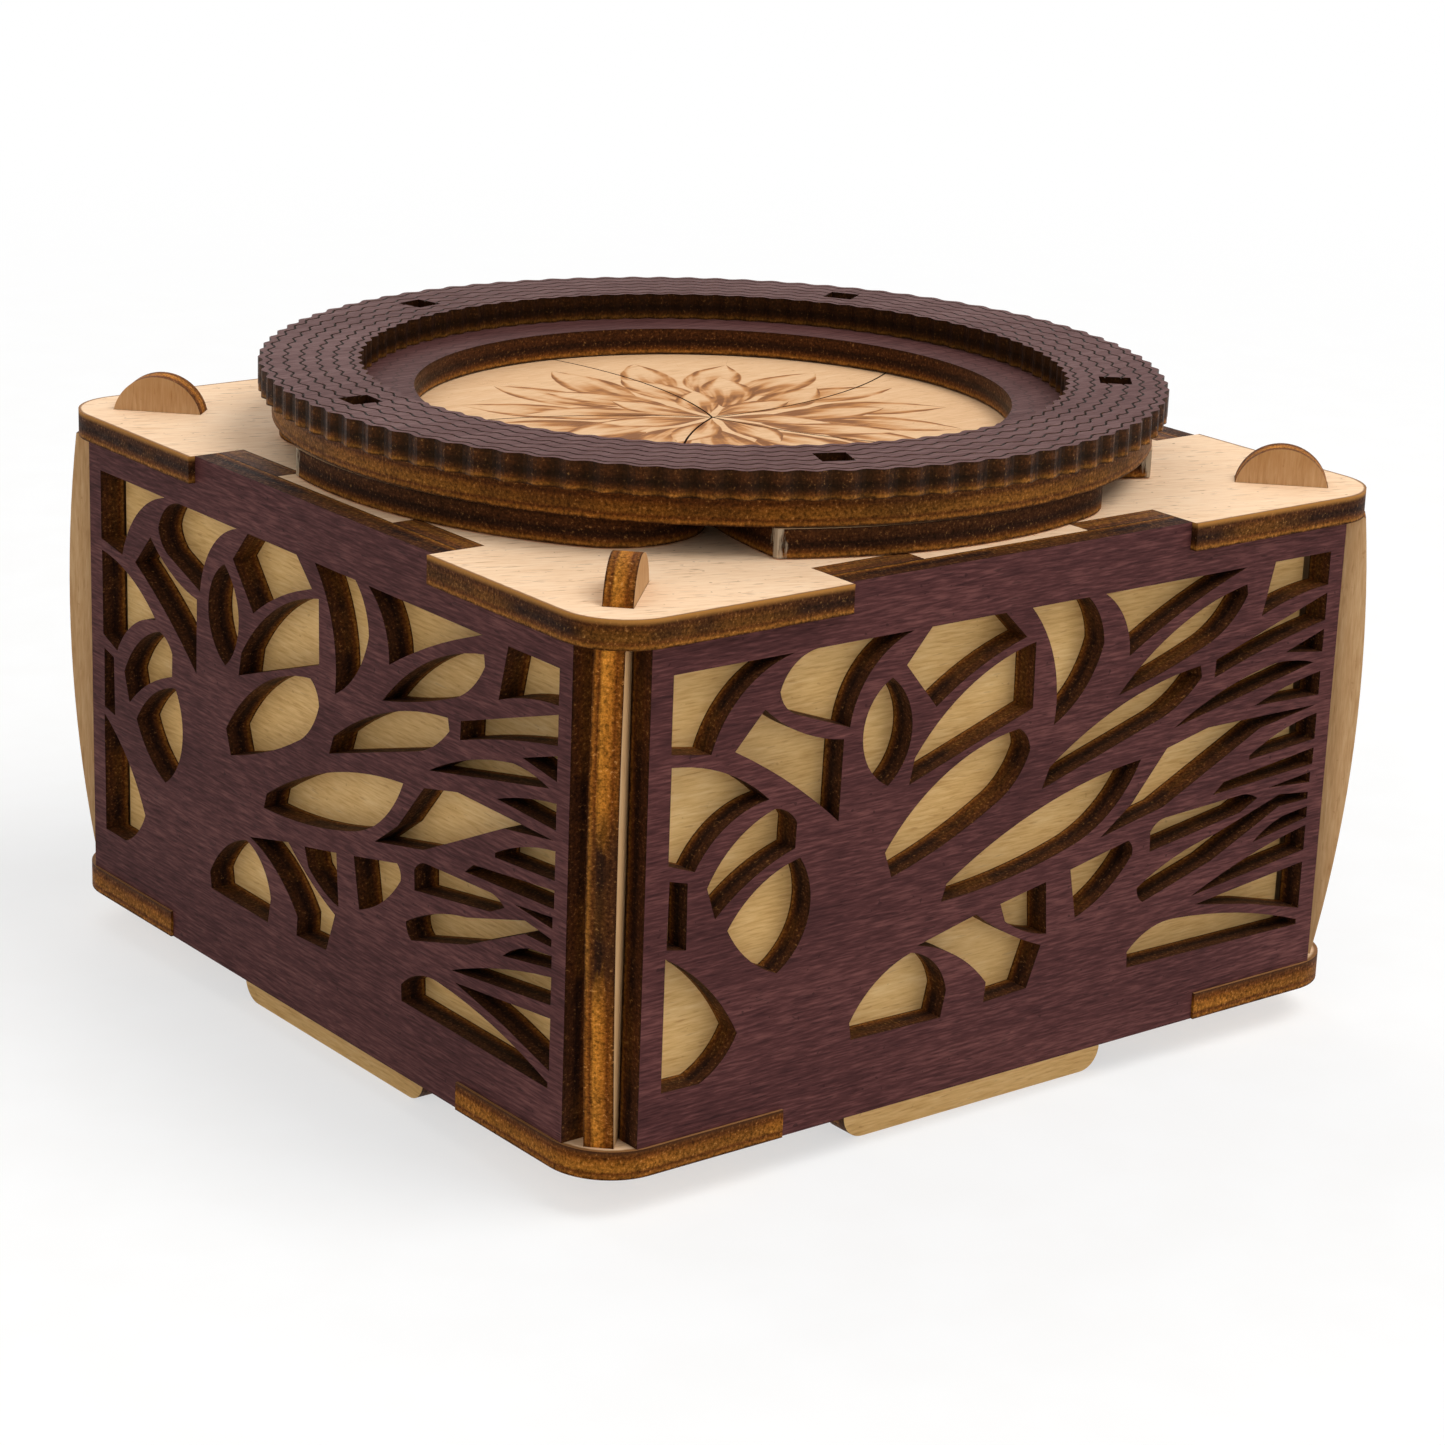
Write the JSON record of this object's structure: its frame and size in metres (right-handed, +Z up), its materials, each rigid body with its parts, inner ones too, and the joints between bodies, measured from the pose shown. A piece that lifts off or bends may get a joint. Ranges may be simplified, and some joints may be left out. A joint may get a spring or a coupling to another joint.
{
  "type": "iris puzzle box",
  "caption": "Square plywood trinket box with branch fretwork walls and a flat iris lid whose blades slide apart when the scalloped ring is twisted.",
  "frame": {"origin": "on the floor under the middle of the box, at the underside of the feet", "axes": "+Z up along the box axis, -Y out of the front wall, +X to the right of the front wall"},
  "size_m": [0.106, 0.106, 0.0706],
  "materials": {
    "birch_sheet": "pale sanded birch plywood, burnt edges",
    "stained_fretwork": "purple-brown stain, burnt cut walls",
    "stained_ring": "purple-brown stain, engraved lines",
    "amber_ring": "golden-brown plywood",
    "scorched_blade": "pale birch with scorched pattern",
    "dowel": "plain hardwood"
  },
  "bodies": {
    "box": {"top_plate": "birch_sheet", "bottom_plate": "birch_sheet", "fretted_panel_front": "stained_fretwork", "fretted_panel_right": "stained_fretwork", "fretted_panel_back": "stained_fretwork", "fretted_panel_left": "stained_fretwork", "backing_panel_front": "birch_sheet", "backing_panel_right": "birch_sheet", "backing_panel_back": "birch_sheet", "backing_panel_left": "birch_sheet", "corner_fin_front_right": "birch_sheet", "corner_fin_back_right": "birch_sheet", "corner_fin_back_left": "birch_sheet", "corner_fin_front_left": "birch_sheet", "guide_pin_1": "dowel", "guide_pin_2": "dowel", "guide_pin_3": "dowel", "guide_pin_4": "dowel", "guide_pin_5": "dowel"},
    "ring": {"grip_ring": "stained_ring", "middle_ring": "amber_ring", "ring_post_1": "dowel", "ring_post_2": "dowel", "ring_post_3": "dowel", "ring_post_4": "dowel", "ring_post_5": "dowel"},
    "blade_1": {"iris_blade_1": "scorched_blade"},
    "blade_2": {"iris_blade_2": "scorched_blade"},
    "blade_3": {"iris_blade_3": "scorched_blade"},
    "blade_4": {"iris_blade_4": "scorched_blade"},
    "blade_5": {"iris_blade_5": "scorched_blade"}
  },
  "joints": [
    {"name": "ring_turn", "type": "hinge", "parent": "box", "child": "ring", "pos_m": [0, 0, 0.0646], "axis": [0, 0, 1], "range_deg": [0, 21]},
    {"name": "blade_1_pivot", "type": "hinge", "parent": "ring", "child": "blade_1", "pos_m": [0.03748, 0.02342, 0.06295], "axis": [0, 0, 1], "range_deg": [-21, 0]},
    {"name": "blade_2_pivot", "type": "hinge", "parent": "ring", "child": "blade_2", "pos_m": [-0.01069, 0.04289, 0.06295], "axis": [0, 0, 1], "range_deg": [-21, 0]},
    {"name": "blade_3_pivot", "type": "hinge", "parent": "ring", "child": "blade_3", "pos_m": [-0.04409, 0.00308, 0.06295], "axis": [0, 0, 1], "range_deg": [-21, 0]},
    {"name": "blade_4_pivot", "type": "hinge", "parent": "ring", "child": "blade_4", "pos_m": [-0.01656, -0.04098, 0.06295], "axis": [0, 0, 1], "range_deg": [-21, 0]},
    {"name": "blade_5_pivot", "type": "hinge", "parent": "ring", "child": "blade_5", "pos_m": [0.03386, -0.02841, 0.06295], "axis": [0, 0, 1], "range_deg": [-21, 0]}
  ],
  "couplings": [
    {"joint": "blade_1_pivot", "follows": "ring_turn", "ratio": -1},
    {"joint": "blade_2_pivot", "follows": "ring_turn", "ratio": -1},
    {"joint": "blade_3_pivot", "follows": "ring_turn", "ratio": -1},
    {"joint": "blade_4_pivot", "follows": "ring_turn", "ratio": -1},
    {"joint": "blade_5_pivot", "follows": "ring_turn", "ratio": -1}
  ]
}
